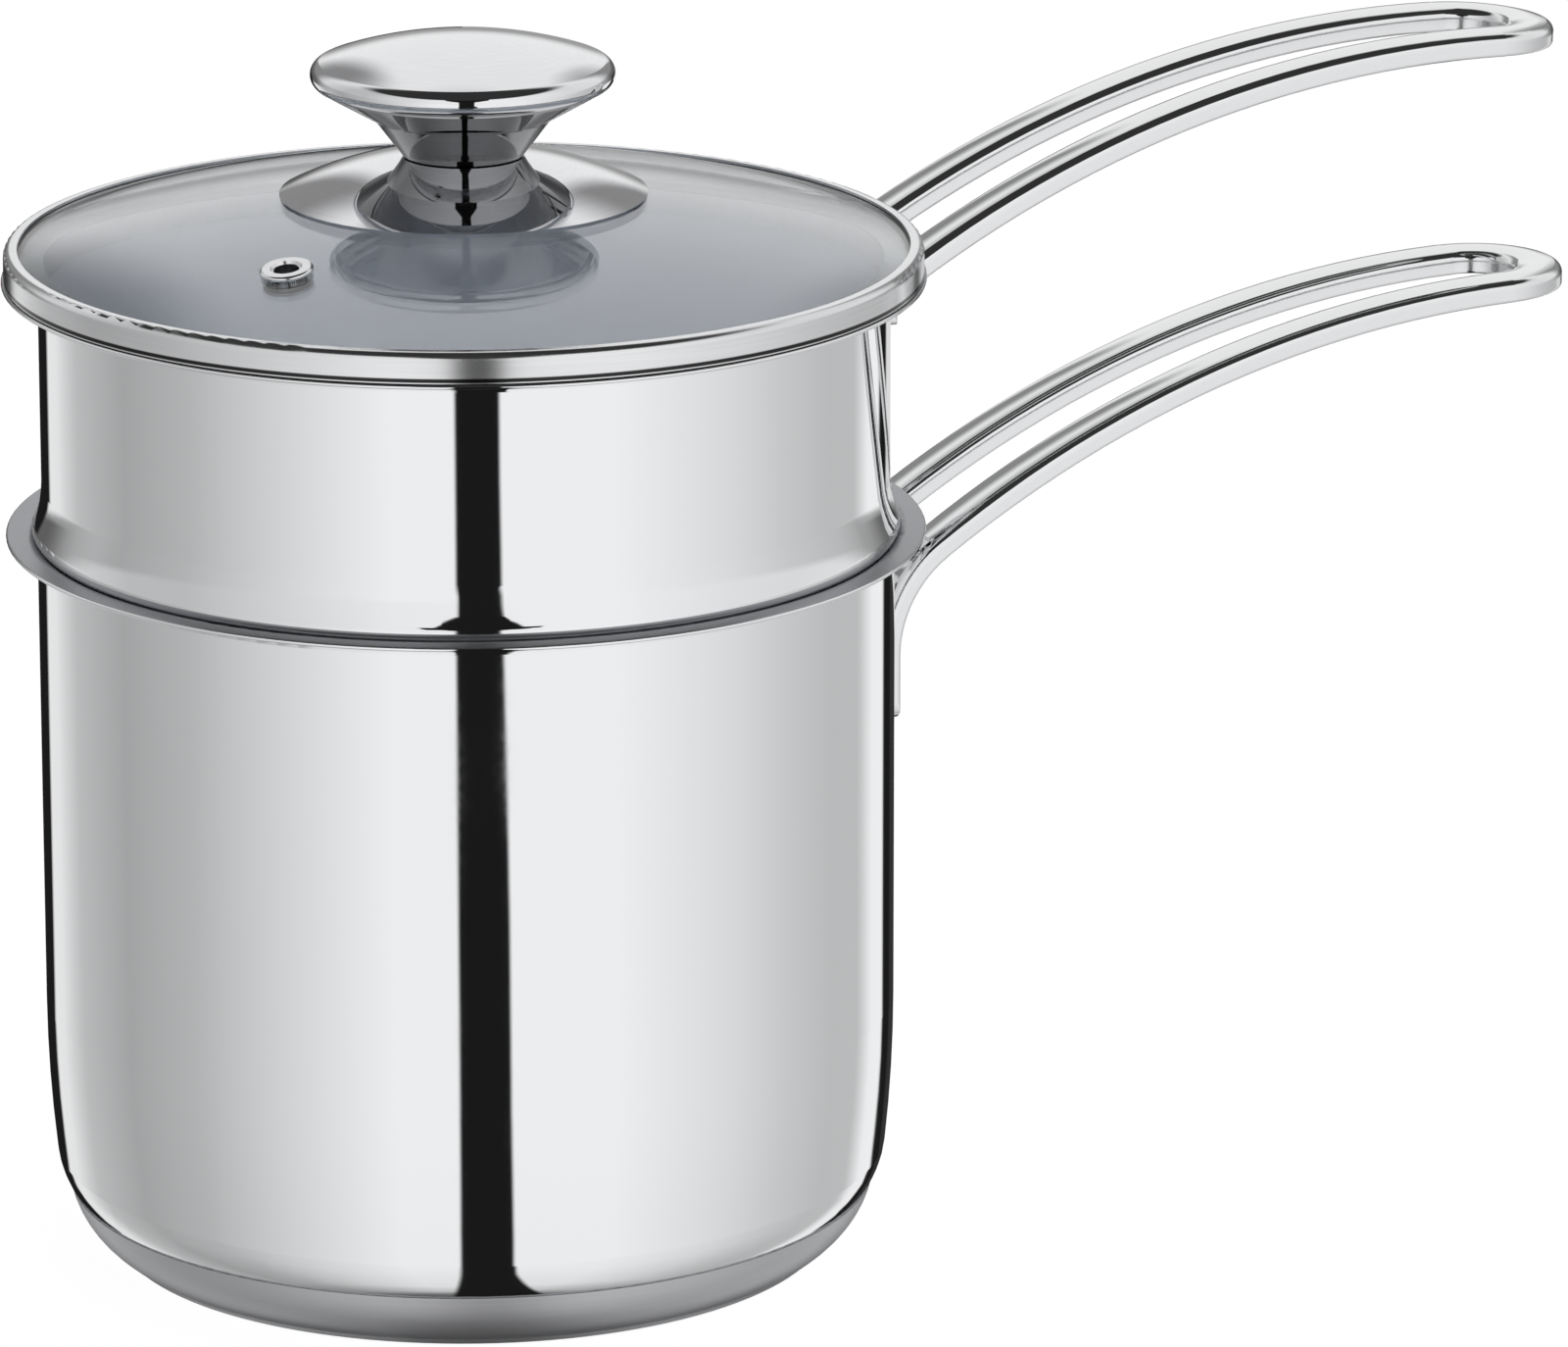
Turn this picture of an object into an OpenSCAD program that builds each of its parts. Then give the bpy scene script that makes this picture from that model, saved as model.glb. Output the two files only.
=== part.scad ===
// Double boiler: a saucepan, a second pan that hangs in its mouth, and a glass lid.
// The origin is the centre of the underside, +Z is up, and both handles point along +X.

/* [Pot] */
// Inside diameter of the pot
pot_bore = 160; // [140:1:200]
// Sheet thickness of both pans
wall_t = 0.8; // [0.6:0.1:1.2]
// Height of the pot's rim above the table
pot_rim_z = 139.5; // [120:0.5:180]
// Radius of the slow curve that draws the wall in, on the outside
side_r = 270; // [200:5:320]
// Height above the table where that curve starts
side_z = 48; // [47:0.5:52]
// Angle that it turns through before the tight bottom corner
side_turn = 6.2; // [4:0.1:7]
// Width of the flat rim, from the bore outwards
rim_w = 6.7; // [5:0.1:9]
// Radius of the bend from the wall into the rim, on the inside
rim_bend_r = 3; // [2:0.1:3.4]

/* [Base] */
// Thickness of the heat spreader disc
core_t = 5; // [3:0.5:6.5]
// Thickness of the base capsule's sheet
cap_t = 0.6; // [0.4:0.1:0.8]
// Height of the seam between capsule and wall
seam_z = 11.9; // [9:0.1:13]
// Radius of the capsule's curved side
cap_side_r = 16.5; // [15:0.5:20]
// How far the capsule stands proud of the wall at the seam
cap_proud = 0.3; // [0.1:0.1:0.6]
// Height of the bevel at the capsule's lower edge
cap_bevel = 1.2; // [0.6:0.1:2]

/* [Upper pan] */
// Height of the upper pan's rim above the pot's rim
insert_rise = 48.8; // [40:0.2:70]
// How deep the upper pan hangs inside the pot
insert_drop = 48; // [30:1:60]
// Gap all round between the hanging part and the pot's bore
insert_gap = 1.4; // [0.8:0.1:3]
// How far the upper pan's wall lies inside the pot's bore
insert_inset = 0.1; // [0.1:0.1:0.8]
// Radius of the shoulder bead that sits in the pot's rim, on the outside
bead_r = 2.3; // [2:0.1:3]
// How far the bead stands out past the wall
bead_out = 1.9; // [1.6:0.1:2.1]
// Height of the cove that runs from the wall out to the bead
flare_h = 8.5; // [6:0.5:11]
// Radius of the upper pan's bottom corner
insert_corner_r = 14; // [8:1:24]
// Lift that keeps the bead off the pot's rim
seat_gap = 0.2; // [0.1:0.05:0.4]

/* [Handles] */
// Width of the strap on the wall and across both rails at the root
strap_w = 34.8; // [32:0.2:38]
// Height of the handle's bar
bar_h = 4.9; // [4.5:0.1:5.5]
// Width of one rail
rail_w = 9.6; // [8.5:0.1:10.5]
// Thickness of the strap over the middle of the wall
strap_t = 1.9; // [1.5:0.1:2.5]
// Radius of the rails' long arch, on the underside
arch_r = 229; // [200:1:260]
// Radius of the strap's lower corners
strap_corner_r = 3.5; // [2:0.5:6]
// Height of the pot handle's bend above the table
pot_root_z = 108.2; // [96:0.2:110]
// Radius of that bend from the strap into the rails, on the underside
pot_root_r = 22; // [18:1:26]
// Height of the pot handle's strap below the bend
pot_strap_drop = 12.7; // [8:0.1:16]
// Slope of the pot handle's rails at the root
pot_handle_slope = 33.3; // [28:0.1:38]
// Angle that the pot handle's arch turns through
pot_handle_turn = 32.5; // [28:0.1:36]
// Depth of the upper handle's bend below the upper pan's rim
insert_root_drop = 13.4; // [13.2:0.1:20]
// Radius of that bend, on the underside
insert_root_r = 6; // [4:0.5:10]
// Height of the upper handle's short strap below the bend
insert_strap_drop = 1.5; // [1:0.1:4]
// Slope of the upper handle's rails at the root
insert_handle_slope = 31.4; // [29:0.1:32]
// Angle that the upper handle's arch turns through
insert_handle_turn = 33.4; // [30:0.1:36]

/* [Lid] */
// Outside radius of the glass dome
glass_r = 300; // [260:5:360]
// Thickness of the glass
glass_t = 4; // [3:0.25:5]
// How far the ring stays inside the edge of the pan's rim
ring_inset = 0.5; // [0.2:0.1:1.5]
// Sheet thickness of the ring
ring_t = 0.5; // [0.4:0.1:0.8]
// Radius of the ring's rolled top corner
ring_roll_r = 1.5; // [1:0.1:2]
// Width of the ring's top lip over the glass
lip_w = 1.1; // [0.8:0.1:1.6]
// Gap between the ring's skirt and the edge of the glass, filled by the seal
seal_w = 1.2; // [0.8:0.1:1.6]
// Thickness of the seal above and below the edge of the glass
seal_t = 0.13; // [0.1:0.01:0.3]
// Depth of the locating lip inside the pan
locate_h = 4.5; // [3:0.5:8]
// Gap between the locating lip and the pan's bore
locate_gap = 0.6; // [0.4:0.1:1.5]
// Gap that keeps the ring off the pan's rim
lid_gap = 0.2; // [0.1:0.05:0.4]

/* [Vent] */
// Distance of the vent from the lid's centre
vent_off = 57.5; // [46:0.5:66]
// Direction of the vent, from the handle's side
vent_turn = -147.3; // [-180:0.1:180]
// Radius of the vent's way through
vent_r = 2.4; // [1.5:0.1:3]
// Thickness of the eyelet's tube
vent_tube_t = 0.5; // [0.4:0.1:0.8]
// Width of the eyelet's flange
vent_flange_w = 2.1; // [1.5:0.1:3]
// Height of the eyelet's flange
vent_flange_h = 1.1; // [0.8:0.1:1.6]
// Thickness of the soft ring in the vent hole
vent_seal_t = 0.5; // [0.4:0.1:0.8]

/* [Knob] */
// Radius of the rosette
rosette_r = 34.5; // [28:0.5:40]
// Rise of the rosette's crown over its rim
rosette_rise = 8; // [6:0.1:9]
// Sheet thickness of the rosette
rosette_t = 0.8; // [0.5:0.1:1]
// Radius of the flat on top of the rosette
rosette_flat_r = 9.8; // [9:0.1:11]
// Radius of the knob's foot
foot_r = 11.4; // [10.5:0.1:13]
// Radius where the knob's stem meets its flared underside
stem_r = 16.7; // [15:0.1:18.5]
// Height of the stem
stem_h = 7; // [6:0.1:9]
// Height of the flared underside
flare_rise = 5.4; // [4.5:0.1:6.5]
// Radius of the cap
knob_r = 28.5; // [27:0.1:31]
// Radius of the cap's round edge
knob_roll_r = 2.5; // [2:0.1:3]
// Rise of the cap's crown over the middle of its edge
knob_rise = 7; // [5:0.1:9]
// Sheet thickness of the cap and the stem
knob_t = 1; // [0.8:0.1:1.2]

/* [Fixing] */
// Radius of the hole in the middle of the glass
glass_hole_r = 5; // [4.6:0.1:6]
// Radius of the screw
screw_r = 2.4; // [2:0.1:2.8]
// Gap round the screw in its thread and washers
screw_gap = 0.05; // [0.02:0.01:0.1]
// Thickness of the soft washer under the glass
gasket_t = 1.2; // [0.8:0.1:2]
// Thickness of the steel washer
washer_t = 1; // [0.6:0.1:1.5]
// Thickness of the spring washer
lock_t = 0.8; // [0.6:0.1:1.2]
// Radius of the screw's head
head_r = 4.2; // [3.8:0.1:5]
// Height of the screw's head
head_h = 2.6; // [2:0.1:3.2]
// Length of screw inside the bush
screw_grip = 8.5; // [6:0.5:9]
// Wall of the threaded bush
bush_wall = 2; // [1.5:0.1:2.5]
// Height of the bush above the foot's underside
bush_h = 11; // [10:0.5:12]

/* [Hidden] */
$fn = 96;
fine = 720;
far = 400;
lap = 0.01;

bore_r = pot_bore / 2;
wall_r = bore_r + wall_t;
rim_r = bore_r + rim_w;

// Pot wall below: a slow arc, then a tight one into the floor.
floor_z = cap_t + core_t;
side_c = [wall_r - side_r, side_z];
corner_r = (side_z - floor_z - side_r * sin(side_turn)) / (1 - sin(side_turn));
corner_c = side_c + (side_r - corner_r) * [cos(side_turn), -sin(side_turn)];
seam_r = corner_c[0] + sqrt(corner_r * corner_r - pow(corner_c[1] - seam_z, 2));

// Base capsule. Its sheet is solid for a short way below the seam.
cap_start_a = 12;
core_top_z = seam_z - 1.5;
cap_c = [seam_r + cap_proud - cap_side_r * cos(cap_start_a), seam_z + cap_side_r * sin(cap_start_a)];

// Upper pan. The bead rests on the bend of the pot's rim: two circles that touch.
// The cove's circle crosses the bead's by cove_lap, which leaves no sliver where they meet.
hang_r = bore_r - insert_gap;
insert_r = bore_r - insert_inset;
insert_rim_z = pot_rim_z + insert_rise;
insert_floor_z = pot_rim_z - insert_drop;
bead_x = insert_r + bead_out - bead_r;
bend_c = [bore_r + rim_bend_r, pot_rim_z - rim_bend_r];
bead_z = bend_c[1] + sqrt(pow(bead_r + rim_bend_r, 2) - pow(bend_c[0] - bead_x, 2)) + seat_gap;
bead_c = [bead_x, bead_z];
cove_lap = 0.01;
cove_r = (flare_h * flare_h + pow(insert_r - bead_x, 2) - pow(bead_r - cove_lap, 2))
    / (2 * (bead_out - cove_lap));
cove_c = [insert_r + cove_r, bead_z + flare_h];

// Handles
insert_root_z = insert_rim_z - insert_root_drop;
rail_y = (strap_w - rail_w) / 2;
top_corner_r = 2;
low_corner_r = 0.8;
crown_h = 0.4;
step = 0.04;
stub = 0.5;
slot_start = 3;

// Lid. The ring's height follows from the glass's edge, which lies between its floor and its lip.
ring_z = insert_rim_z + lid_gap;
ring_r = rim_r - ring_inset;
glass_edge_r = ring_r - ring_t - seal_w;
lip_r = ring_r - ring_roll_r - lip_w;
dome_z = ring_z + ring_t + seal_t - sqrt(pow(glass_r - glass_t, 2) - pow(glass_edge_r, 2));
ring_top_z = dome_z + sqrt(glass_r * glass_r - lip_r * lip_r) + seal_t + ring_t;
ring_h = ring_top_z - ring_z;
glass_top_z = dome_z + glass_r;
glass_under_z = glass_top_z - glass_t;
locate_r = insert_r - wall_t - locate_gap;
seal_lap = 1.8;
seal_in_r = glass_edge_r - seal_lap;
vent_tilt = asin(vent_off / glass_r);
vent_tube_r = vent_r + vent_tube_t;
vent_hole_r = vent_tube_r + vent_seal_t;
vent_seal_r = vent_hole_r + 1.2;
vent_stand = 0.1;
vent_seal_h = 0.72;
vent_seal_z = -glass_t - 0.8;
vent_foot_t = 0.5;

// Knob, from the rosette up
rosette_gap = 0.15;
rosette_dome_r = (rosette_r * rosette_r + rosette_rise * rosette_rise) / (2 * rosette_rise);
rosette_in_r = sqrt(pow(rosette_dome_r - rosette_t, 2) - pow(rosette_dome_r - rosette_rise, 2));
rosette_z = dome_z + sqrt(glass_r * glass_r - rosette_in_r * rosette_in_r) + rosette_gap;
rosette_c = rosette_z + rosette_rise - rosette_dome_r;
rosette_top_z = rosette_c + sqrt(rosette_dome_r * rosette_dome_r - rosette_flat_r * rosette_flat_r);
stem_top_z = rosette_top_z + stem_h;
knob_lip_t = 0.4;
knob_lip_r = knob_r - knob_roll_r;
flare_top_z = stem_top_z + flare_rise;
roll_c = [knob_lip_r, flare_top_z + knob_lip_t + knob_roll_r];
crown_r = (knob_lip_r * knob_lip_r + knob_rise * knob_rise - knob_roll_r * knob_roll_r)
    / (2 * (knob_rise - knob_roll_r));
crown_z = roll_c[1] + knob_rise - crown_r;
cap_land = 1.5;
bush_r = screw_r + screw_gap + bush_wall;

// Screw, washers and bush
screw_room = 0.3;
sleeve_gap = 0.2;
gasket_r = 9;
washer_r = 8;
lock_gap = 0.1;
lock_split = 0.8;
head_bevel = 0.8;
cross_w = 4.8;
cross_t = 1;
cross_h = 1.5;
bush_collar_w = 1.5;
bush_collar_h = 1;
gasket_top_z = glass_under_z - 0.2;
washer_top_z = gasket_top_z - gasket_t;
lock_top_z = washer_top_z - washer_t;
head_top_z = lock_top_z - lock_t;

// Outline of a pan's lower half, half of it, to be turned round the axis.
// inset is how far inside the sheet's outer face it lies.
module pot_outline(inset, top_z) {
    tangent = far * [cos(side_turn), -sin(side_turn)];
    intersection() {
        translate(side_c) circle(side_r - inset, $fn = fine);
        polygon([[0, side_z], side_c + [far, 0], side_c + tangent, corner_c, [0, corner_c[1]]]);
    }
    intersection() {
        translate(corner_c) circle(corner_r - inset);
        polygon([corner_c, corner_c + tangent, corner_c - [0, far]]);
    }
    translate([0, floor_z + inset]) square([corner_c[0], corner_c[1] - floor_z - inset]);
    translate([0, side_z]) square([wall_r - inset, top_z - side_z]);
}

// Section of a pan's flat rim and of the bend below it. in_r is the pan's inside radius.
module rim_section(in_r, top_z) {
    c = [in_r + rim_bend_r, top_z - rim_bend_r];
    intersection() {
        difference() {
            translate(c) circle(rim_bend_r);
            translate(c) circle(rim_bend_r - wall_t);
        }
        translate([0, c[1]]) square([c[0], far]);
    }
    translate([c[0], top_z - wall_t]) square([rim_r - c[0] - wall_t / 2, wall_t]);
    translate([rim_r - wall_t / 2, top_z - wall_t / 2]) circle(wall_t / 2);
}

module pot_shell() {
    color("silver") rotate_extrude() {
        difference() {
            pot_outline(0, pot_rim_z - rim_bend_r);
            pot_outline(wall_t, pot_rim_z);
        }
        rim_section(bore_r, pot_rim_z);
    }
}

// Outline of the base capsule, half of it
module cap_outline(inset) {
    r = cap_side_r - inset;
    foot_r = cap_c[0] + sqrt(r * r - pow(cap_c[1] - cap_bevel, 2));
    intersection() {
        translate(cap_c) circle(r);
        translate([cap_c[0], cap_bevel]) square([far, seam_z - cap_bevel]);
    }
    translate([0, cap_bevel]) square([cap_c[0], seam_z - cap_bevel]);
    polygon([[0, inset], [foot_r - cap_bevel + inset, inset], [foot_r, cap_bevel], [0, cap_bevel]]);
}

module base_core() {
    color("gainsboro") rotate_extrude() difference() {
        cap_outline(cap_t);
        pot_outline(0, pot_rim_z);
        translate([0, core_top_z]) square(far);
    }
}

module base_cap() {
    color("darkgray") rotate_extrude() difference() {
        cap_outline(0);
        difference() {
            cap_outline(cap_t);
            translate([0, core_top_z]) square(far);
        }
        pot_outline(0, pot_rim_z);
    }
}

// Outline of the upper pan, half of it
module insert_outline(inset, top_z) {
    corner = [hang_r - insert_corner_r, insert_floor_z + insert_corner_r];
    shelf_z = bead_z - bead_r + inset;
    intersection() {
        translate(corner) circle(insert_corner_r - inset);
        translate(corner - [0, far]) square(far);
    }
    translate([0, insert_floor_z + inset]) square([corner[0], insert_corner_r - inset]);
    translate([0, corner[1]]) square([hang_r - inset, top_z - corner[1]]);
    translate([0, shelf_z]) square([bead_x, bead_r - inset]);
    translate(bead_c) circle(bead_r - inset);
    difference() {
        polygon([[0, bead_z], bead_c, cove_c, [0, cove_c[1]]]);
        translate(cove_c) circle(cove_r + inset, $fn = fine);
    }
    translate([0, cove_c[1]]) square([insert_r - inset, top_z - cove_c[1]]);
}

module insert_shell() {
    color("silver") rotate_extrude() {
        difference() {
            insert_outline(0, insert_rim_z - rim_bend_r);
            insert_outline(wall_t, insert_rim_z);
        }
        rim_section(insert_r - wall_t, insert_rim_z);
    }
}

// Section of the handle's bar: w wide, its underside on the line y = 0, its top crowned.
// grow moves its whole outline outwards.
module bar_section(w, grow = 0) {
    r = top_corner_r + grow;
    low_r = low_corner_r + grow;
    flat = w / 2 - top_corner_r;
    low_flat = w / 2 - low_corner_r;
    c = bar_h - top_corner_r - crown_h;
    crown_r = (flat * flat + crown_h * crown_h) / (2 * crown_h);
    lean = [flat, sqrt(crown_r * crown_r - flat * flat)] / crown_r;
    reach = 3 * r;
    translate([-w / 2 - grow, low_corner_r]) square([w + 2 * grow, c - low_corner_r]);
    translate([-low_flat, -grow]) square([2 * low_flat, low_corner_r + grow]);
    for (s = [-1, 1]) {
        intersection() {
            translate([s * flat, c]) circle(r);
            polygon([[s * flat, c], [s * (flat + reach), c],
                [s * (flat + reach * lean[0]), c + reach * lean[1]]]);
        }
        intersection() {
            translate([s * low_flat, low_corner_r]) circle(low_r);
            polygon([[s * low_flat, low_corner_r], [s * (low_flat + reach), low_corner_r],
                [s * low_flat, low_corner_r - reach]]);
        }
    }
    intersection() {
        translate([0, bar_h - top_corner_r - crown_r]) circle(crown_r + r, $fn = fine);
        polygon([[-flat, c], [flat, c], [flat + reach * lean[0], c + reach * lean[1]],
            [-flat - reach * lean[0], c + reach * lean[1]]]);
    }
}

// A stretch of bar bent in the handle's upright plane. Its underside has radius r about the point
// (x, z), and it runs from a to a + turn, counted from level, on the wall's side of that point.
module bent_bar(w, grow, r, x, z, a, turn) {
    translate([x, 0, z]) rotate([90, 0, 180]) rotate([0, 0, a])
        rotate_extrude(angle = turn) translate([r, 0]) rotate(-90) bar_section(w, grow);
}

// The handle's rounded end, in its own plane, with short stubs that plug into the rails
module tip() {
    rotate([0, 0, -90]) rotate_extrude(angle = 180) translate([rail_y, 0]) bar_section(rail_w, -step);
    for (s = [-1, 1]) translate([0, s * rail_y, 0]) rotate([90, 0, -90])
        linear_extrude(stub) bar_section(rail_w, -step);
}

// A loop handle: a strap on the wall, bent out into two rails that meet at the tip. The strap is a
// hair thicker than the rails and the tip a hair thinner, so that each plugs into the next.
// r is the pan's outside radius, and the bend of radius root_r starts at height z.
module loop_handle(r, z, root_r, drop, slope, turn) {
    a = 90 - slope;
    root_x = r + strap_t + root_r;
    arch_x = root_x + (arch_r - root_r) * cos(a);
    arch_z = z - (arch_r - root_r) * sin(a);
    plug_a = stub * 180 / (PI * arch_r);
    end_a = a + turn;
    slot_r = strap_w / 2 - rail_w - step;
    slot_x = root_x - root_r * cos(a) + slot_r - slot_start;
    difference() {
        union() {
            intersection() {
                translate([root_x - root_r, 0, z - drop]) rotate([0, 0, 90])
                    linear_extrude(drop) bar_section(strap_w, step);
                strap_blank(z - drop, min(strap_corner_r, drop));
            }
            bent_bar(strap_w, step, root_r, root_x, z, 0, a);
        }
        translate([slot_x, 0, z]) cylinder(r = slot_r, h = far, center = true);
        translate([slot_x, -slot_r, z - far / 2]) cube([far, 2 * slot_r, far]);
        cylinder(r = r, h = far);
    }
    for (s = [-1, 1]) translate([0, s * rail_y, 0])
        bent_bar(rail_w, 0, arch_r, arch_x, arch_z, a - plug_a, turn + plug_a);
    translate([arch_x - arch_r * cos(end_a), 0, arch_z + arch_r * sin(end_a)])
        rotate([0, end_a - 90, 0]) tip();
}

// The strap's outline on the wall from height z up, with round lower corners, as a block
module strap_blank(z, corner) {
    w = strap_w / 2 - corner;
    translate([0, 0, z]) rotate([90, 0, 90]) linear_extrude(far) {
        translate([-strap_w / 2 - 1, corner]) square([strap_w + 2, far]);
        translate([-w, 0]) square([2 * w, corner]);
        for (s = [-1, 1]) translate([s * w, corner]) circle(corner);
    }
}

module pot_handle() {
    color("silver") loop_handle(wall_r, pot_root_z, pot_root_r, pot_strap_drop,
        pot_handle_slope, pot_handle_turn);
}

module insert_handle() {
    color("silver") loop_handle(insert_r, insert_root_z, insert_root_r, insert_strap_drop,
        insert_handle_slope, insert_handle_turn);
}

// Turns a child drawn at the top of the dome to the vent's place
module at_vent() {
    translate([0, 0, dome_z]) rotate([0, 0, vent_turn]) rotate([0, vent_tilt, 0])
        translate([0, 0, glass_r]) children();
}

module glass_blank() {
    intersection() {
        difference() {
            translate([0, 0, dome_z]) sphere(glass_r, $fn = fine);
            translate([0, 0, dome_z]) sphere(glass_r - glass_t, $fn = fine);
        }
        translate([0, 0, ring_z]) cylinder(r = glass_edge_r, h = far);
    }
}

module lid_glass() {
    color("lightblue", 0.4) difference() {
        glass_blank();
        translate([0, 0, ring_z]) cylinder(r = glass_hole_r, h = far);
        at_vent() cylinder(r = vent_hole_r, h = 4 * glass_t, center = true);
    }
}

module lid_rim() {
    c = [ring_r - ring_roll_r, ring_top_z - ring_roll_r];
    color("silver") rotate_extrude() {
        translate([ring_r - ring_t, ring_z]) square([ring_t, c[1] - ring_z + lap]);
        difference() {
            intersection() {
                translate(c) circle(ring_roll_r);
                translate(c) square(far);
            }
            translate(c) circle(ring_roll_r - ring_t);
        }
        translate([lip_r, ring_top_z - ring_t]) square([c[0] - lip_r, ring_t]);
        translate([locate_r - ring_t, ring_z]) square([ring_r - locate_r + ring_t, ring_t]);
        translate([locate_r - ring_t, ring_z - locate_h]) square([ring_t, locate_h + ring_t]);
    }
}

module rim_seal() {
    c = [ring_r - ring_roll_r, ring_top_z - ring_roll_r];
    color("dimgray") rotate_extrude() difference() {
        translate([seal_in_r, ring_z + ring_t]) square([ring_r - ring_t - seal_in_r, ring_h - 2 * ring_t]);
        difference() {
            translate(c) square(ring_roll_r);
            translate(c) circle(ring_roll_r - ring_t);
        }
        translate([0, ring_z + ring_h / 2]) square([lip_r, ring_h]);
        intersection() {
            difference() {
                translate([0, dome_z]) circle(glass_r, $fn = fine);
                translate([0, dome_z]) circle(glass_r - glass_t, $fn = fine);
            }
            translate([0, ring_z]) square([glass_edge_r, ring_h]);
        }
    }
}

module vent_eyelet() {
    flange_r = vent_tube_r + vent_flange_w;
    edge = vent_flange_h / 2;
    color("silver") at_vent() rotate_extrude() {
        difference() {
            union() {
                translate([vent_r, vent_stand]) square([flange_r - edge - vent_r, vent_flange_h]);
                translate([flange_r - edge, vent_stand + edge]) circle(edge);
            }
            polygon([[0, 0], [vent_r, 0], [vent_r + vent_flange_h, 2 * vent_flange_h],
                [0, 2 * vent_flange_h]]);
        }
        translate([vent_r, vent_seal_z]) square([vent_tube_t, vent_stand + edge - vent_seal_z]);
        translate([vent_r, vent_seal_z - vent_foot_t]) square([vent_seal_r - vent_r, vent_foot_t]);
    }
}

module vent_seal() {
    color("dimgray") at_vent() rotate_extrude() {
        translate([vent_tube_r, vent_seal_z]) square([vent_seal_t, -vent_seal_z]);
        translate([vent_tube_r, vent_seal_z]) square([vent_seal_r - vent_tube_r, vent_seal_h]);
    }
}

module rosette() {
    color("gainsboro") rotate_extrude() difference() {
        intersection() {
            translate([0, rosette_c]) circle(rosette_dome_r, $fn = fine);
            translate([0, rosette_z]) square([rosette_r, rosette_top_z - rosette_z]);
        }
        intersection() {
            translate([0, rosette_c]) circle(rosette_dome_r - rosette_t, $fn = fine);
            square([rosette_r - rosette_t, rosette_top_z - rosette_t]);
        }
        square([screw_r + screw_room, far]);
    }
}

module rosette_gasket() {
    bottom_z = glass_top_z;
    color("dimgray") translate([0, 0, bottom_z]) difference() {
        cylinder(r = rosette_flat_r, h = rosette_top_z - rosette_t - bottom_z);
        translate([0, 0, -1]) cylinder(r = screw_r + 2 * screw_room, h = far);
    }
}

// Outline of the knob's stem and underside, half of it
module stem_outline() {
    polygon([[0, rosette_top_z], [foot_r, rosette_top_z], [stem_r, stem_top_z],
        [knob_lip_r, flare_top_z], [knob_lip_r, flare_top_z + knob_lip_t],
        [0, flare_top_z + knob_lip_t]]);
}

module knob_body() {
    color("silver") rotate_extrude() difference() {
        stem_outline();
        polygon([[0, rosette_top_z + 2 * knob_t], [foot_r, rosette_top_z + 2 * knob_t],
            [stem_r - 1.4 * knob_t, stem_top_z + knob_t],
            [knob_lip_r - 2 * knob_t, flare_top_z + knob_lip_t / 2],
            [knob_lip_r - 2 * knob_t, far], [0, far]]);
        square([bush_r, far]);
    }
}

// Outline of the knob's cap, half of it: a crown that runs into a round edge
module knob_outline(inset) {
    lean = (roll_c - [0, crown_z]) / (crown_r - knob_roll_r);
    intersection() {
        translate([0, crown_z]) circle(crown_r - inset, $fn = fine);
        polygon([[0, roll_c[1]], roll_c, roll_c + far * lean, [0, far]]);
    }
    intersection() {
        translate(roll_c) circle(knob_roll_r - inset);
        polygon([roll_c, roll_c - [0, far], roll_c + [far, -far], roll_c + [far, far],
            roll_c + far * lean]);
    }
    translate([0, roll_c[1] - knob_roll_r + inset]) square([roll_c[0], knob_roll_r - inset]);
}

module knob_cap() {
    color("silver") rotate_extrude() difference() {
        knob_outline(0);
        knob_outline(knob_t);
        square([knob_lip_r - cap_land, roll_c[1]]);
    }
}

module knob_bush() {
    color("darkgray") translate([0, 0, rosette_top_z]) difference() {
        union() {
            cylinder(r = bush_r, h = bush_h);
            translate([0, 0, 2 * knob_t]) cylinder(r = bush_r + bush_collar_w, h = bush_collar_h);
        }
        translate([0, 0, -1]) cylinder(r = screw_r + screw_gap, h = bush_h);
    }
}

module hole_sleeve() {
    color("dimgray") translate([0, 0, gasket_top_z]) difference() {
        cylinder(r = glass_hole_r - sleeve_gap, h = glass_top_z - gasket_top_z);
        translate([0, 0, -1]) cylinder(r = screw_r + screw_room, h = 2 * glass_t);
    }
}

// A flat washer round the screw, its top at height z
module washer(r, hole_r, t, z) {
    translate([0, 0, z - t]) difference() {
        cylinder(r = r, h = t);
        translate([0, 0, -1]) cylinder(r = hole_r, h = t + 2);
    }
}

module inner_gasket() {
    color("dimgray") washer(gasket_r, screw_r + screw_room, gasket_t, gasket_top_z);
}

module inner_washer() {
    color("silver") washer(washer_r, screw_r + screw_room, washer_t, washer_top_z);
}

module lock_washer() {
    color("darkgray") difference() {
        washer(head_r, screw_r + lock_gap, lock_t, lock_top_z);
        translate([0, -lock_split / 2, head_top_z - lock_t]) cube([far, lock_split, 3 * lock_t]);
    }
}

module knob_screw() {
    low_z = head_top_z - head_h;
    color("silver") difference() {
        union() {
            translate([0, 0, low_z + head_bevel]) cylinder(r = head_r, h = head_h - head_bevel);
            translate([0, 0, low_z]) cylinder(r1 = head_r - head_bevel, r2 = head_r, h = head_bevel);
            translate([0, 0, low_z + head_h / 2])
                cylinder(r = screw_r, h = rosette_top_z + screw_grip - low_z - head_h / 2);
        }
        for (a = [0, 90]) rotate([0, 0, a]) translate([-cross_w / 2, -cross_t / 2, low_z - cross_h])
            cube([cross_w, cross_t, 2 * cross_h]);
    }
}

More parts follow.
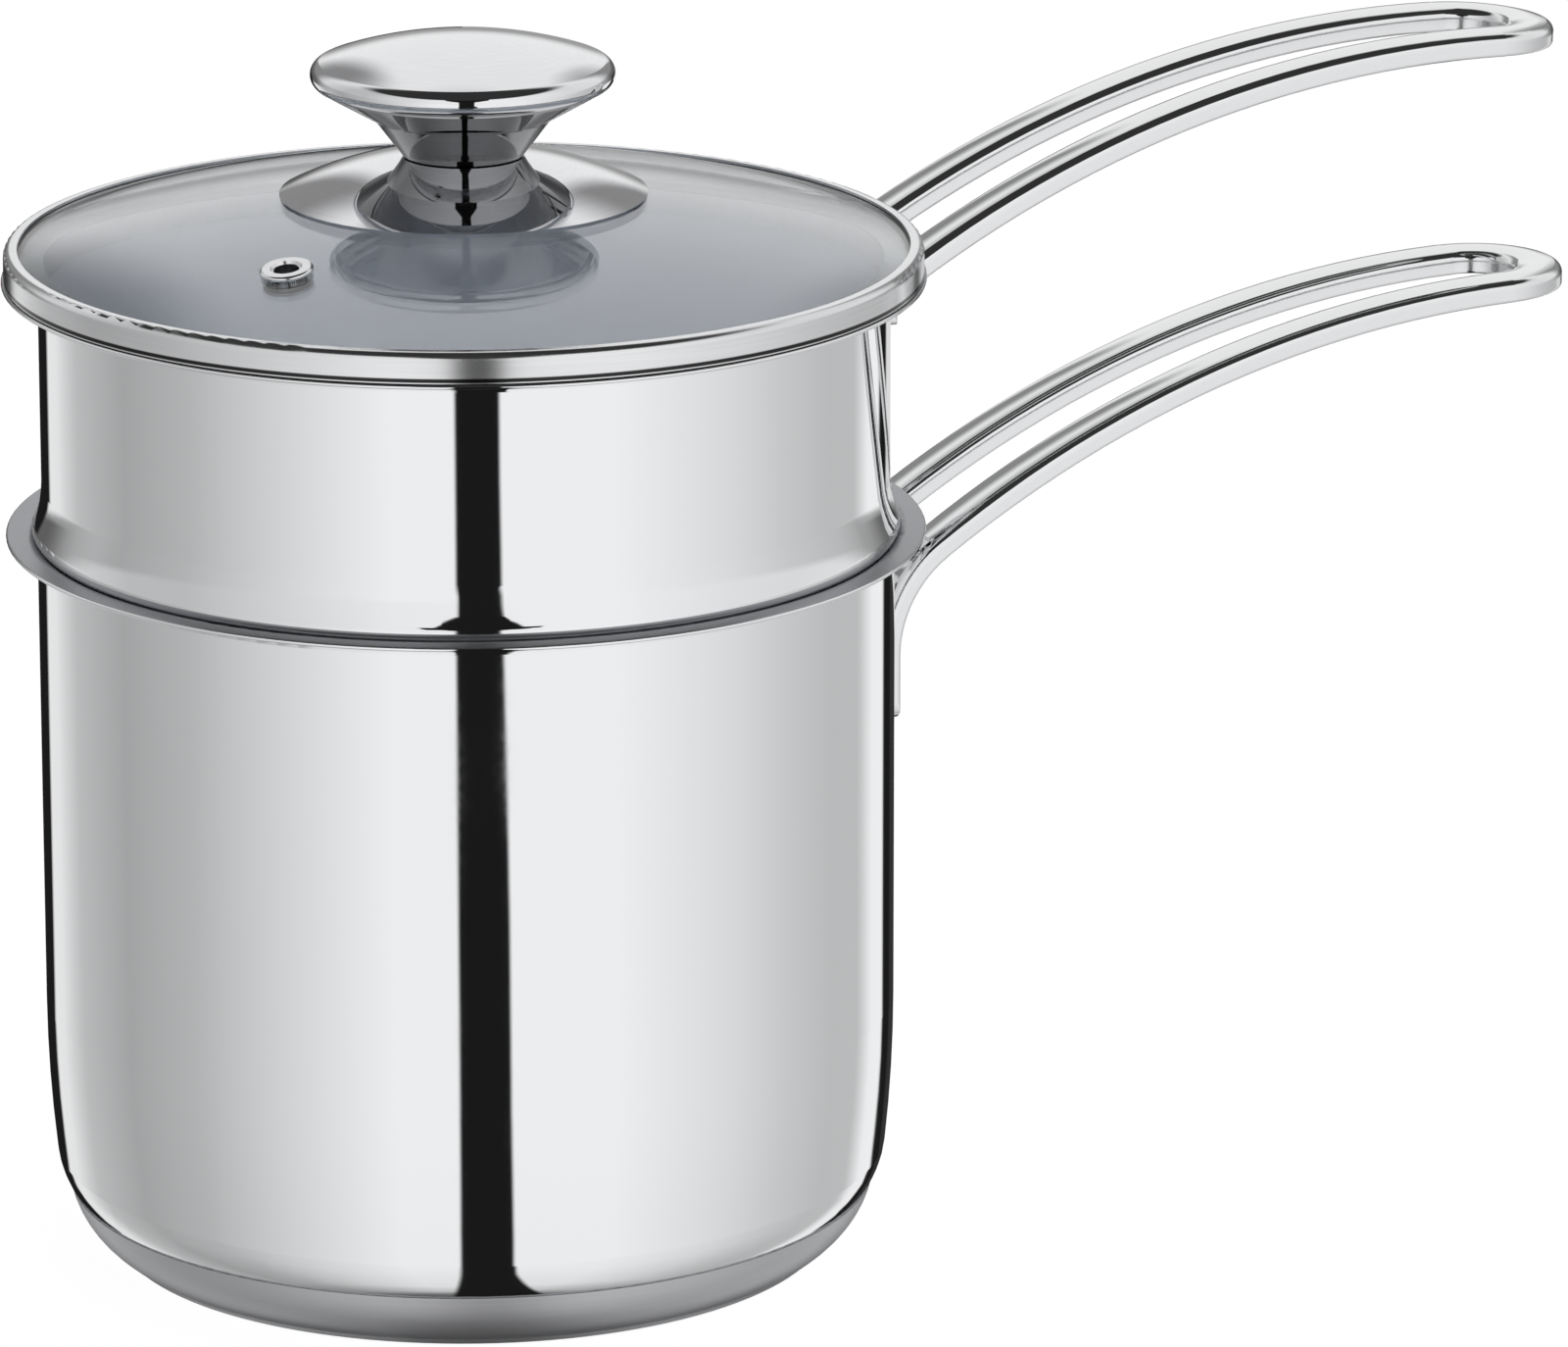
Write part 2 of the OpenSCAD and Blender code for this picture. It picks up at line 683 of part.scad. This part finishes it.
pot_shell();
base_core();
base_cap();
pot_handle();
insert_shell();
insert_handle();
lid_glass();
lid_rim();
rim_seal();
vent_eyelet();
vent_seal();
rosette();
rosette_gasket();
knob_body();
knob_cap();
knob_bush();
hole_sleeve();
inner_gasket();
inner_washer();
lock_washer();
knob_screw();
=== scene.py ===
import math
import bpy
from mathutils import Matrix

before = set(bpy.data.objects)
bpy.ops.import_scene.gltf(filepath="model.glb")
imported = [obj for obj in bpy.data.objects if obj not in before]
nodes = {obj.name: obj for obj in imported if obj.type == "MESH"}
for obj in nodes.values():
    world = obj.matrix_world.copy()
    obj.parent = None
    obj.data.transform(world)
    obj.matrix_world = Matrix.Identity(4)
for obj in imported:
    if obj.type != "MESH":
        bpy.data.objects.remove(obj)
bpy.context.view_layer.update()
print("frame loaded:", len(nodes), "pieces")


def newMaterial(name):
    mat = bpy.data.materials.new(name)
    mat.use_nodes = True
    tree = mat.node_tree
    tree.nodes.clear()
    out = tree.nodes.new("ShaderNodeOutputMaterial")
    shader = tree.nodes.new("ShaderNodeBsdfPrincipled")
    tree.links.new(shader.outputs["BSDF"], out.inputs["Surface"])
    return mat, tree, shader


def addMath(tree, kind, first, second=None, third=None, clamp=False):
    node = tree.nodes.new("ShaderNodeMath")
    node.operation = kind
    node.use_clamp = clamp
    for i, value in enumerate((first, second, third)):
        if value is None:
            continue
        if isinstance(value, (int, float)):
            node.inputs[i].default_value = value
        else:
            tree.links.new(value, node.inputs[i])
    return node.outputs[0]


def addRange(tree, value, low, high, newLow, newHigh, smooth=True):
    node = tree.nodes.new("ShaderNodeMapRange")
    node.interpolation_type = "SMOOTHSTEP" if smooth else "LINEAR"
    tree.links.new(value, node.inputs["Value"])
    node.inputs["From Min"].default_value = low
    node.inputs["From Max"].default_value = high
    node.inputs["To Min"].default_value = newLow
    node.inputs["To Max"].default_value = newHigh
    return node.outputs["Result"]


def addMix(tree, amount, first, second):
    node = tree.nodes.new("ShaderNodeMix")
    node.data_type = "RGBA"
    sockets = [node.inputs[0], node.inputs[6], node.inputs[7]]  # factor and the two colours
    for socket, value in zip(sockets, (amount, first, second)):
        if isinstance(value, (int, float, tuple)):
            socket.default_value = value
        else:
            tree.links.new(value, socket)
    return node.outputs[2]


def addNoise(tree, vector, scale, detail=3.0, roughness=0.5):
    node = tree.nodes.new("ShaderNodeTexNoise")
    node.inputs["Scale"].default_value = scale
    node.inputs["Detail"].default_value = detail
    node.inputs["Roughness"].default_value = roughness
    tree.links.new(vector, node.inputs["Vector"])
    return node.outputs["Fac"]


def addRamp(tree, value, stops, smooth=True):
    node = tree.nodes.new("ShaderNodeValToRGB")
    node.color_ramp.interpolation = "EASE" if smooth else "LINEAR"
    points = node.color_ramp.elements
    while len(points) > 1:
        points.remove(points[-1])
    points[0].position = stops[0][0]
    points[0].color = stops[0][1]
    for place, colour in stops[1:]:
        points.new(place).color = colour
    tree.links.new(value, node.inputs["Fac"])
    return node.outputs["Color"]


def addBump(tree, height, strength, distance, before=None):
    node = tree.nodes.new("ShaderNodeBump")
    node.inputs["Distance"].default_value = distance
    if isinstance(strength, (int, float)):
        node.inputs["Strength"].default_value = strength
    else:
        tree.links.new(strength, node.inputs["Strength"])
    tree.links.new(height, node.inputs["Height"])
    if before is not None:
        tree.links.new(before, node.inputs["Normal"])
    return node.outputs["Normal"]


def splitVector(tree, vector):
    parts = tree.nodes.new("ShaderNodeSeparateXYZ")
    tree.links.new(vector, parts.inputs["Vector"])
    return parts.outputs["X"], parts.outputs["Y"], parts.outputs["Z"]


def joinVector(tree, *parts):
    node = tree.nodes.new("ShaderNodeCombineXYZ")
    for socket, value in zip(node.inputs, parts):
        if isinstance(value, (int, float)):
            socket.default_value = value
        else:
            tree.links.new(value, socket)
    return node.outputs["Vector"]


def grey(value, tint=(1.0, 1.0, 1.0)):
    return (value * tint[0], value * tint[1], value * tint[2], 1.0)


def setMaterial(mat, *names):
    for name in names:
        for slot in nodes[name].material_slots:
            slot.material = mat


studio = {
    "cameraPlace": (-0.7349, -1.7314, 0.6426),
    "cameraTurn": (74.189, 0.0, -24.823),
    "lens": 236.83,
    "sensor": 36.0,
    "farthest": 100.0,
    "towardCamera": -113.0,
    "backdrop": 1.0,
}

paper = {"half": 14.0, "height": -0.0004, "shade": 0.4, "glow": 0.86, "rough": 0.9}

# The light tent. Every number that isn't in degrees or a brightness is a part of the unit direction:
# x toward the camera, y to its right, z up.
tent = {
    # a dark gap between the two softboxes in front, which widens upward and at its foot
    "gapMiddle": 0.05,  # y
    "gapHalf": 0.1,
    "gapHalfAbove": 0.25,
    "gapWidens": (20.0, 31.0),  # degrees above the table
    "gapSoft": 0.011,
    "gapFoot": (-0.3, -0.25),  # z
    "gapFootWider": 0.014,
    "gapFootShift": 0.012,
    "gapFront": (-0.3, -0.1),  # x
    # black flags low round the object
    "blackout": 0.012,  # brightness
    "flagTop": -5.0,  # degrees
    "flagSoft": 0.06,
    "farFlagTop": -14.8,  # degrees
    "farFlagSoft": 0.002,
    # the back wall, dimmer near the table's height
    "wallMeets": (0.0, 0.12),  # z
    "horizonDim": 0.48,  # brightness
    "dimAbove": (0.0, 0.2),  # z
    "dimBelow": (-0.225, -0.2),  # z
    "dimFrom": (-0.85, -0.4),  # x
    # a bright panel that hangs behind the object, dim beside it
    "panelMiddle": 0.02,  # y
    "panelSide": (0.15, 0.22),
    "panelFoot": 0.1,
    "panelFootHeight": (-0.06, 0.1),  # z
    "panelFrom": (-0.85, -0.6),  # x
    "panelLow": (-0.22, -0.16),  # z
    "besidePanel": 0.3,  # brightness
    # the dark roof, a round patch
    "roofMiddle": 82.0,  # degrees
    "roofHalf": 44.0,
    "roofSoftFront": 3.0,
    "roofSoftBack": 7.0,
    "roofTurns": (-0.5, 0.5),  # x
    "roof": 0.035,  # brightness
    "roofThroughGlass": 2.8,
}

# How the wall's light falls off toward straight down: (z + 1) / 2, and brightness
floorFade = [(0.0, 0.12), (0.0076, 0.2), (0.02, 0.6), (0.05, 0.85), (0.2, 0.97), (0.33, 1.0), (1.0, 1.0)]

# Brightness of the wall below the table's height, by degrees round the object from the camera's side
wallBelow = [
    (-180, 0.75), (-155, 0.9), (-145, 0.9), (-130, 0.6), (-105, 0.45), (-80, 0.55), (-50, 0.8),
    (-20, 1.05), (40, 1.05), (75, 0.85), (95, 0.7), (115, 0.6), (130, 0.6), (140, 1.0), (150, 1.0),
    (165, 0.75), (180, 0.75),
]

# The same above the table, up to the dark roof
wallAbove = [
    (-180, 0.95), (-150, 0.95), (-125, 0.8), (-100, 0.6), (-80, 0.6), (-50, 0.8), (-20, 1.0),
    (20, 1.05), (40, 1.05), (75, 0.9), (95, 0.85), (125, 0.9), (150, 0.95), (180, 0.95),
]

# Where black flags stand beside the object, well below the table's height: degrees, and how black
blackFlags = [
    (-180, 1.0), (-156, 1.0), (-153.5, 0.0), (150, 0.0), (152, 1.0), (160, 1.0), (162, 0.0), (180, 0.0),
]

# A lower one behind the object and to its right
farFlag = [(-180, 0.0), (155, 0.0), (156, 0.97), (180, 0.97)]


def aroundRamp(tree, place, stops):
    return addRamp(tree, place, [((a + 180) / 360, grey(v)) for a, v in stops], smooth=False)


def makeWorld():
    world = bpy.data.worlds.new("lightTent")
    world.use_nodes = True
    tree = world.node_tree
    tree.nodes.clear()
    out = tree.nodes.new("ShaderNodeOutputWorld")
    coords = tree.nodes.new("ShaderNodeTexCoord")
    turn = tree.nodes.new("ShaderNodeVectorRotate")
    turn.rotation_type = "Z_AXIS"
    turn.inputs["Angle"].default_value = math.radians(-studio["towardCamera"])
    tree.links.new(coords.outputs["Generated"], turn.inputs["Vector"])
    x, y, z = splitVector(tree, turn.outputs["Vector"])
    around = addMath(tree, "ARCTAN2", y, x)
    # a ramp runs from 0 to 1: round the object with the camera at 0.5, and from straight down to up
    place = addMath(tree, "MULTIPLY_ADD", around, 1 / (2 * math.pi), 0.5)
    height = addMath(tree, "MULTIPLY_ADD", z, 0.5, 0.5)
    # the wall below falls off toward straight down, and the back wall dims near the table's height
    fade = addRamp(tree, height, [(h, grey(v)) for h, v in floorFade], smooth=False)
    below = addMath(tree, "MULTIPLY", aroundRamp(tree, place, wallBelow), fade)
    dim = addRange(tree, z, *tent["dimAbove"], tent["horizonDim"], 1.0)
    dim = addMath(tree, "MAXIMUM", dim, addRange(tree, z, *tent["dimBelow"], 1.0, tent["horizonDim"]))
    dim = addMix(tree, addRange(tree, x, *tent["dimFrom"], 0.0, 1.0), dim, grey(1.0))
    above = aroundRamp(tree, place, wallAbove)
    light = addMix(tree, addRange(tree, z, *tent["wallMeets"], 0.0, 1.0), below, above)
    light = addMath(tree, "MULTIPLY", light, dim)
    # beside the panel that hangs behind the object the tent is dim
    beside = addMath(tree, "ABSOLUTE", addMath(tree, "SUBTRACT", y, tent["panelMiddle"]))
    foot = addRange(tree, z, *tent["panelFootHeight"], tent["panelFoot"], 0.0)
    beside = addRange(tree, addMath(tree, "ADD", beside, foot), *tent["panelSide"], 0.0, 1.0)
    beside = addMath(tree, "MULTIPLY", beside, addRange(tree, x, *tent["panelFrom"], 1.0, 0.0))
    beside = addMath(tree, "MULTIPLY", beside, addRange(tree, z, *tent["panelLow"], 0.0, 1.0))
    beside = addRange(tree, beside, 0.0, 1.0, 1.0, tent["besidePanel"], False)
    light = addMath(tree, "MULTIPLY", light, beside)
    for stops, top, soft in ((blackFlags, tent["flagTop"], tent["flagSoft"]),
                             (farFlag, tent["farFlagTop"], tent["farFlagSoft"])):
        sine = math.sin(math.radians(top))
        flag = addMath(tree, "MULTIPLY", aroundRamp(tree, place, stops),
                       addRange(tree, z, sine - soft, sine + soft, 1.0, 0.0))
        light = addMix(tree, flag, light, grey(tent["blackout"]))
    # the dark gap between the two softboxes in front widens upward
    low, high = (math.sin(math.radians(a)) for a in tent["gapWidens"])
    half = addRange(tree, z, low, high, tent["gapHalf"], tent["gapHalfAbove"], False)
    half = addMath(tree, "ADD", half, addRange(tree, z, *tent["gapFoot"], tent["gapFootWider"], 0.0))
    middle = tent["gapMiddle"]
    middle = addRange(tree, z, *tent["gapFoot"], middle + tent["gapFootShift"], middle)
    offset = addMath(tree, "ABSOLUTE", addMath(tree, "SUBTRACT", y, middle))
    past = addMath(tree, "SUBTRACT", offset, half)
    gap = addRange(tree, past, -tent["gapSoft"], tent["gapSoft"], 1.0, 0.0)
    gap = addMath(tree, "MULTIPLY", gap, addRange(tree, x, *tent["gapFront"], 0.0, 1.0))
    light = addMix(tree, gap, light, grey(tent["blackout"]))
    # dark roof, with a soft edge behind and a firmer one in front
    middle = math.radians(tent["roofMiddle"])
    raised = addMath(tree, "MULTIPLY", z, math.sin(middle))
    away = addMath(tree, "ARCCOSINE", addMath(tree, "MULTIPLY_ADD", x, math.cos(middle), raised))
    softBack, softFront = math.radians(tent["roofSoftBack"]), math.radians(tent["roofSoftFront"])
    softness = addRange(tree, x, *tent["roofTurns"], softBack, softFront)
    edge = addMath(tree, "DIVIDE", addMath(tree, "SUBTRACT", away, math.radians(tent["roofHalf"])), softness)
    # the roof lights the inside of the pans through the lid
    path = tree.nodes.new("ShaderNodeLightPath")
    through = path.outputs["Is Transmission Ray"]
    roof = addRange(tree, through, 0.0, 1.0, tent["roof"], tent["roofThroughGlass"], False)
    light = addMix(tree, addRange(tree, edge, -1.0, 1.0, 1.0, 0.0), light, roof)
    # what the camera sees past the floor is plain paper
    shown = addMix(tree, path.outputs["Is Camera Ray"], light, grey(studio["backdrop"]))
    background = tree.nodes.new("ShaderNodeBackground")
    tree.links.new(shown, background.inputs["Color"])
    tree.links.new(background.outputs["Background"], out.inputs["Surface"])
    bpy.context.scene.world = world


def makeFloor():
    mesh = bpy.data.meshes.new("floor")
    half = paper["half"]
    mesh.from_pydata([(-half, -half, 0), (half, -half, 0), (half, half, 0), (-half, half, 0)], [],
                     [(0, 1, 2, 3)])
    floor = bpy.data.objects.new("floor", mesh)
    floor.location.z = paper["height"]
    bpy.context.scene.collection.objects.link(floor)
    mat, tree, shader = newMaterial("whitePaper")
    shader.inputs["Base Color"].default_value = grey(paper["shade"])
    shader.inputs["Roughness"].default_value = paper["rough"]
    shader.inputs["Specular IOR Level"].default_value = 0.0
    shader.inputs["Emission Color"].default_value = grey(1.0)
    shader.inputs["Emission Strength"].default_value = paper["glow"]
    mesh.materials.append(mat)
    # polished steel mirrors the light tent instead of the sheet that it stands on
    floor.visible_glossy = False


def makeCamera():
    data = bpy.data.cameras.new("camera")
    camera = bpy.data.objects.new("camera", data)
    camera.location = studio["cameraPlace"]
    camera.rotation_euler = [math.radians(a) for a in studio["cameraTurn"]]
    data.sensor_fit = "HORIZONTAL"
    data.sensor_width = studio["sensor"]
    data.lens = studio["lens"]
    data.clip_end = studio["farthest"]
    bpy.context.scene.collection.objects.link(camera)
    bpy.context.scene.camera = camera


bpy.context.scene.view_settings.view_transform = "Standard"
makeWorld()
makeFloor()
makeCamera()
print("studio ready")


def surfaceParts(tree):
    # place of the shaded point, its angle round the pot's axis and distance from it, how far its face
    # looks up, and how far it looks away from the axis
    coords = tree.nodes.new("ShaderNodeTexCoord")
    point = coords.outputs["Object"]
    x, y, z = splitVector(tree, point)
    nx, ny, nz = splitVector(tree, coords.outputs["Normal"])
    around = addMath(tree, "ARCTAN2", y, x)
    out = addMath(tree, "SQRT", addMath(tree, "MULTIPLY_ADD", x, x, addMath(tree, "MULTIPLY", y, y)))
    away = addMath(tree, "MULTIPLY_ADD", x, nx, addMath(tree, "MULTIPLY", y, ny))
    away = addMath(tree, "DIVIDE", away, out)
    return {"point": point, "x": x, "y": y, "z": z, "nz": nz, "around": around, "out": out, "away": away}


def turnedLines(tree, at, across, along=3.0):
    # hair-fine lines that run round the pot's axis; about as many as across fit in a metre
    vector = joinVector(tree, addMath(tree, "MULTIPLY", at["out"], across),
                        addMath(tree, "MULTIPLY", at["around"], along),
                        addMath(tree, "MULTIPLY", at["z"], across))
    return addNoise(tree, vector, 1.0, 2.0)


smudge = {"film": (0.45, 0.72), "specks": (0.35, 0.7), "finer": 38, "faintest": 0.5, "ragged": 0.6}


def addSmudges(tree, at, scale, clean, dull):
    # patches of a wiped-over film, and small specks in them
    film = addNoise(tree, at["point"], scale, 4.0, smudge["ragged"])
    film = addRange(tree, film, *smudge["film"], 0.0, 1.0)
    specks = addNoise(tree, at["point"], scale * smudge["finer"], 2.0, smudge["ragged"])
    specks = addRange(tree, specks, *smudge["specks"], smudge["faintest"], 1.0)
    return addMath(tree, "MULTIPLY_ADD", addMath(tree, "MULTIPLY", film, specks), dull - clean, clean)


panSteel = {
    "mirror": (0.80, 0.805, 0.815),
    # painted light: the inside's colour is lighter than the mirror's, standing in for light that reaches
    # within the pans
    "inside": (0.90, 0.92, 0.96),
    # painted shade: the flat rim's colour is darker than the mirror's
    "flange": (0.40, 0.405, 0.425),
    "clean": 0.03,
    "smudged": 0.07,
    "insideRough": 0.5,
    "flangeRough": 0.42,
    "insideFaces": (-0.5, -0.2),
    "flangeFaces": (0.75, 0.9),
    "smudgeScale": 17.0,
    "lines": 2600.0,
    "lineDepth": 0.00004,
    "satinGrain": 0.32,
    "mirrorGrain": 0.012,
    "rippleScale": 160.0,
    "ripple": 0.05,
    "rippleDepth": 0.00003,
}


def makePanSteel():
    mat, tree, shader = newMaterial("panSteel")
    shader.inputs["Metallic"].default_value = 1.0
    look = panSteel
    at = surfaceParts(tree)
    # mirror polish outside, satin within and on the flat rim; the colour within is lighter as painted light,
    # and the flat rim's colour darker as painted shade
    inside = addRange(tree, at["away"], *look["insideFaces"], 1.0, 0.0)
    flange = addRange(tree, at["nz"], *look["flangeFaces"], 0.0, 1.0)
    satin = addMath(tree, "MAXIMUM", inside, flange)
    rough = addSmudges(tree, at, look["smudgeScale"], look["clean"], look["smudged"])
    rough = addMix(tree, inside, rough, grey(look["insideRough"]))
    rough = addMix(tree, flange, rough, grey(look["flangeRough"]))
    tree.links.new(rough, shader.inputs["Roughness"])
    # painted light within and painted shade on the flat rim, mixed into the colour
    colour = addMix(tree, inside, grey(1.0, look["mirror"]), grey(1.0, look["inside"]))
    colour = addMix(tree, flange, colour, grey(1.0, look["flange"]))
    tree.links.new(colour, shader.inputs["Base Color"])
    # turning lines on the satin, and on the mirror only a breath of polishing haze
    lines = turnedLines(tree, at, look["lines"])
    deep = addMath(tree, "MULTIPLY_ADD", satin, look["satinGrain"], look["mirrorGrain"])
    normal = addBump(tree, lines, deep, look["lineDepth"])
    ripple = addNoise(tree, at["point"], look["rippleScale"], 1.0)
    ripple = addBump(tree, ripple, look["ripple"], look["rippleDepth"], normal)
    tree.links.new(ripple, shader.inputs["Normal"])
    return mat


setMaterial(makePanSteel(), "pot_shell", "insert_shell")

turned = {"lines": 2200.0, "depth": 0.00004, "darkest": 0.96, "spread": (0.3, 0.7)}
# painted shadow and painted reflection: a dark band on the ring's skirt at the hem, its soft edges and how
# dark it is
hemShadeLine = {"lowEdge": 0.0002, "highEdge": 0.0003, "tone": 0.03}


def makeTurnedSteel(name, look):
    mat, tree, shader = newMaterial(name)
    shader.inputs["Metallic"].default_value = 1.0
    at = surfaceParts(tree)
    lines = turnedLines(tree, at, turned["lines"])
    tone = addRange(tree, lines, *turned["spread"], turned["darkest"], 1.0)
    colour = addMix(tree, tone, grey(0.0), grey(1.0, look["colour"]))
    if "hem" in look:
        # painted shadow and painted reflection: a dark line in the ring's colour stands for the shade in the
        # groove over its rolled hem and the dark gap that the hem mirrors
        low, high = look["hem"]
        hem = addMath(tree, "MULTIPLY", addRange(tree, at["z"], low, low + hemShadeLine["lowEdge"], 0.0, 1.0),
                      addRange(tree, at["z"], high, high + hemShadeLine["highEdge"], 1.0, 0.0))
        colour = addMix(tree, hem, colour, grey(hemShadeLine["tone"]))
    tree.links.new(colour, shader.inputs["Base Color"])
    rough = addSmudges(tree, at, look["smudgeScale"], look["clean"], look["smudged"])
    tree.links.new(rough, shader.inputs["Roughness"])
    tree.links.new(addBump(tree, lines, look["grain"], turned["depth"]), shader.inputs["Normal"])
    return mat


capSteel = {
    "colour": (0.55, 0.555, 0.57),
    "clean": 0.42,
    "smudged": 0.5,
    "smudgeScale": 30.0,
    "grain": 0.3,
}
setMaterial(makeTurnedSteel("capsuleSteel", capSteel), "base_cap")

coreMetal = {
    "colour": (0.8, 0.8, 0.82),
    "clean": 0.38,
    "smudged": 0.45,
    "smudgeScale": 30.0,
    "grain": 0.2,
}
setMaterial(makeTurnedSteel("coreAluminium", coreMetal), "base_core")

ringSteel = {
    "colour": (0.76, 0.765, 0.775),
    "clean": 0.18,
    "smudged": 0.24,
    "smudgeScale": 30.0,
    "grain": 0.12,
    # painted shade line on the ring's skirt, between these heights
    "hem": (0.1886, 0.1893),  # the dark line's height, in metres
}
setMaterial(makeTurnedSteel("ringSteel", ringSteel), "lid_rim", "vent_eyelet")

knobSteel = {
    "colour": (0.80, 0.805, 0.82),
    "clean": 0.022,
    "smudged": 0.05,
    "smudgeScale": 45.0,
    "grain": 0.01,
}
setMaterial(makeTurnedSteel("knobSteel", knobSteel), "rosette", "knob_cap")

stemSteel = {
    "colour": (0.33, 0.333, 0.34),
    "clean": 0.03,
    "smudged": 0.06,
    "smudgeScale": 45.0,
    "grain": 0.02,
}
setMaterial(makeTurnedSteel("stemSteel", stemSteel), "knob_body")

screwSteel = {
    "colour": (0.6, 0.6, 0.62),
    "clean": 0.22,
    "smudged": 0.3,
    "smudgeScale": 30.0,
    "grain": 0.12,
}
setMaterial(makeTurnedSteel("screwSteel", screwSteel),
            "knob_bush", "inner_washer", "lock_washer", "knob_screw")

handleSteel = {
    "colour": (0.80, 0.805, 0.81),
    "sideColour": (0.76, 0.765, 0.775),
    "clean": 0.045,
    "smudged": 0.09,
    "sideRough": 0.2,
    "sideFaces": (0.2, 0.45),
    "smudgeScale": 40.0,
    "pits": 1500.0,
    "pitDepth": 0.00006,
    "grain": 0.16,
    "hairs": (30.0, 2400.0, 120.0),
    "hairGrain": 0.03,
    "hairDepth": 0.00004,
}


def makeHandleSteel():
    mat, tree, shader = newMaterial("handleSteel")
    shader.inputs["Metallic"].default_value = 1.0
    at = surfaceParts(tree)
    look = handleSteel
    # the bar's crown is polished and its cut sides keep a fine grain
    side = addRange(tree, addMath(tree, "ABSOLUTE", at["nz"]), *look["sideFaces"], 1.0, 0.0)
    rough = addSmudges(tree, at, look["smudgeScale"], look["clean"], look["smudged"])
    rough = addMix(tree, side, rough, grey(look["sideRough"]))
    tree.links.new(rough, shader.inputs["Roughness"])
    colour = addMix(tree, side, grey(1.0, look["colour"]), grey(1.0, look["sideColour"]))
    tree.links.new(colour, shader.inputs["Base Color"])
    pits = addNoise(tree, at["point"], look["pits"], 3.0, 0.6)
    normal = addBump(tree, pits, addMath(tree, "MULTIPLY", side, look["grain"]), look["pitDepth"])
    # polishing lines along the bar
    along = [addMath(tree, "MULTIPLY", at[axis], scale) for axis, scale in zip("xyz", look["hairs"])]
    hairs = addNoise(tree, joinVector(tree, *along), 1.0, 2.0)
    hairs = addBump(tree, hairs, look["hairGrain"], look["hairDepth"], normal)
    tree.links.new(hairs, shader.inputs["Normal"])
    return mat


setMaterial(makeHandleSteel(), "pot_handle", "insert_handle")
print("steel ready")

lidGlass = {"tint": (0.93, 0.965, 1.0), "bend": 1.6, "smudgeScale": 24.0, "hazy": 0.02}


def makeGlass():
    mat, tree, shader = newMaterial("lidGlass")
    shader.inputs["Base Color"].default_value = grey(1.0, lidGlass["tint"])
    shader.inputs["IOR"].default_value = lidGlass["bend"]
    shader.inputs["Transmission Weight"].default_value = 1.0
    at = surfaceParts(tree)
    rough = addSmudges(tree, at, lidGlass["smudgeScale"], 0.0, lidGlass["hazy"])
    tree.links.new(rough, shader.inputs["Roughness"])
    return mat


rubber = {
    "colour": (0.03, 0.03, 0.033),
    "smooth": 0.5,
    "dusty": 0.65,
    "specks": 900.0,
    "spread": (0.3, 0.7),
    "grain": 0.1,
    "depth": 0.00003,
}


def makeRubber():
    mat, tree, shader = newMaterial("darkSilicone")
    shader.inputs["Base Color"].default_value = grey(1.0, rubber["colour"])
    at = surfaceParts(tree)
    speck = addNoise(tree, at["point"], rubber["specks"], 3.0)
    rough = addRange(tree, speck, *rubber["spread"], rubber["smooth"], rubber["dusty"])
    tree.links.new(rough, shader.inputs["Roughness"])
    tree.links.new(addBump(tree, speck, rubber["grain"], rubber["depth"]), shader.inputs["Normal"])
    return mat


setMaterial(makeGlass(), "lid_glass")
setMaterial(makeRubber(), "rim_seal", "vent_seal", "rosette_gasket", "hole_sleeve", "inner_gasket")
print("glass and rings ready")
